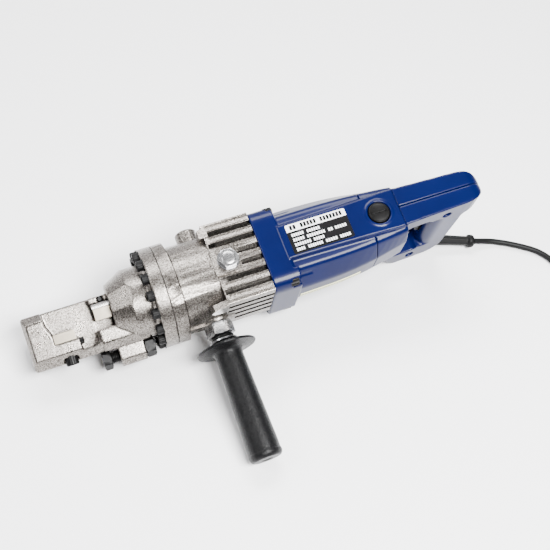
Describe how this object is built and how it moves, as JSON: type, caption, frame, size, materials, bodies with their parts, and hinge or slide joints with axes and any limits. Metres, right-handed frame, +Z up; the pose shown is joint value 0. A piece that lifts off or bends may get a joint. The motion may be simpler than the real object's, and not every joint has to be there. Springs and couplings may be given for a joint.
{
  "type": "rebar cutter",
  "caption": "Portable electro-hydraulic rebar cutter: a C-shaped cutting head on a finned pump, an electric motor body, a D handle with a trigger, a side grip and a mains cord",
  "frame": {"origin": "centre of the box around the tool without its cord, at the level of the bench", "axes": "+X towards the rear handle, +Y away from the side handle, +Z up from the bench the tool lies on"},
  "size_m": [0.6835, 0.2585, 0.125],
  "materials": {
    "cast": "blasted casting, bare",
    "blade": "ground tool steel",
    "bright_steel": "ground",
    "black_oxide": "black oxide, oiled",
    "zinc": "zinc plated",
    "blue_shell": "glossy, moulded in blue",
    "black_plastic": "matt",
    "rubber": "matt black",
    "copper": "bright copper",
    "carbon": "pressed carbon",
    "lamination": "stacked electrical steel",
    "seal": "nitrile rubber",
    "label": "printed plate, plain bars"
  },
  "bodies": {
    "housing": {"head_casting": "cast", "fixed_blade": "blade", "fixed_blade_screw": "black_oxide", "rod_wiper": "seal", "return_spring": "bright_steel", "ram_guide_screw": "black_oxide", "stopper_nut": "black_oxide", "flange_bolts": "black_oxide", "pump_housing": "cast", "oil_plug": "zinc", "oil_plug_washer": "copper", "oil_bladder": "rubber", "pump_block": "zinc", "plunger": "bright_steel", "plunger_spring": "bright_steel", "cam_front_bearing": "bright_steel", "cam_rear_bearing": "bright_steel", "gear_plate": "zinc", "motor_housing": "blue_shell", "motor_screw_1": "zinc", "motor_screw_2": "zinc", "motor_screw_3": "zinc", "motor_screw_4": "zinc", "front_bearing": "bright_steel", "rear_bearing": "bright_steel", "stator": "lamination", "brush_upper": "carbon", "brush_lower": "carbon", "brush_cap_upper": "black_plastic", "brush_cap_lower": "black_plastic", "label_plate": "label", "handle_left": "blue_shell", "handle_right": "blue_shell", "switch": "black_plastic", "handle_screw_upper": "zinc", "handle_screw_lower": "zinc", "side_stud": "zinc", "side_nut": "zinc", "side_collar": "black_plastic", "side_washer": "zinc", "side_grip": "rubber", "cord_guard": "rubber", "cord": "rubber", "cord_tail": "rubber", "cord_coil": "rubber", "plug": "black_plastic"},
    "ram": {"ram": "bright_steel", "moving_blade": "blade", "moving_blade_screw": "black_oxide", "piston_seal": "seal"},
    "stopper": {"stopper_bolt": "black_oxide"},
    "armature": {"armature_shaft": "bright_steel", "armature_core": "lamination", "commutator": "copper", "fan": "black_plastic"},
    "camshaft": {"camshaft": "bright_steel", "cam_gear": "bright_steel", "eccentric_bearing": "bright_steel"},
    "trigger": {"trigger": "black_plastic"}
  },
  "joints": [
    {"name": "ram_slide", "type": "slide", "parent": "housing", "child": "ram", "axis": [-0.9953, 0, -0.0972], "range_m": [0, 0.023], "stiffness_N_per_m": 1500, "springref_m": -0.01, "deforming": ["return_spring"]},
    {"name": "stopper_slide", "type": "slide", "parent": "housing", "child": "stopper", "axis": [-0.9953, 0, -0.0972], "range_m": [-0.003, 0.012]},
    {"name": "armature_spin", "type": "hinge", "parent": "housing", "child": "armature", "pos_m": [-0.12107, 0.06121, 0.04823], "axis": [0.9953, 0, 0.0972], "continuous": true},
    {"name": "camshaft_spin", "type": "hinge", "parent": "housing", "child": "camshaft", "pos_m": [-0.11936, 0.06511, 0.03074], "axis": [0.9953, 0, 0.0972], "continuous": true},
    {"name": "trigger_pull", "type": "hinge", "parent": "housing", "child": "trigger", "pos_m": [0.16694, 0.05752, 0.09304], "axis": [0.0211, -0.9762, -0.2158], "range_deg": [0, 8], "stiffness_Nm_per_rad": 1, "springref_deg": -5.73}
  ],
  "couplings": [
    {"joint": "camshaft_spin", "follows": "armature_spin", "ratio": -0.38462}
  ]
}
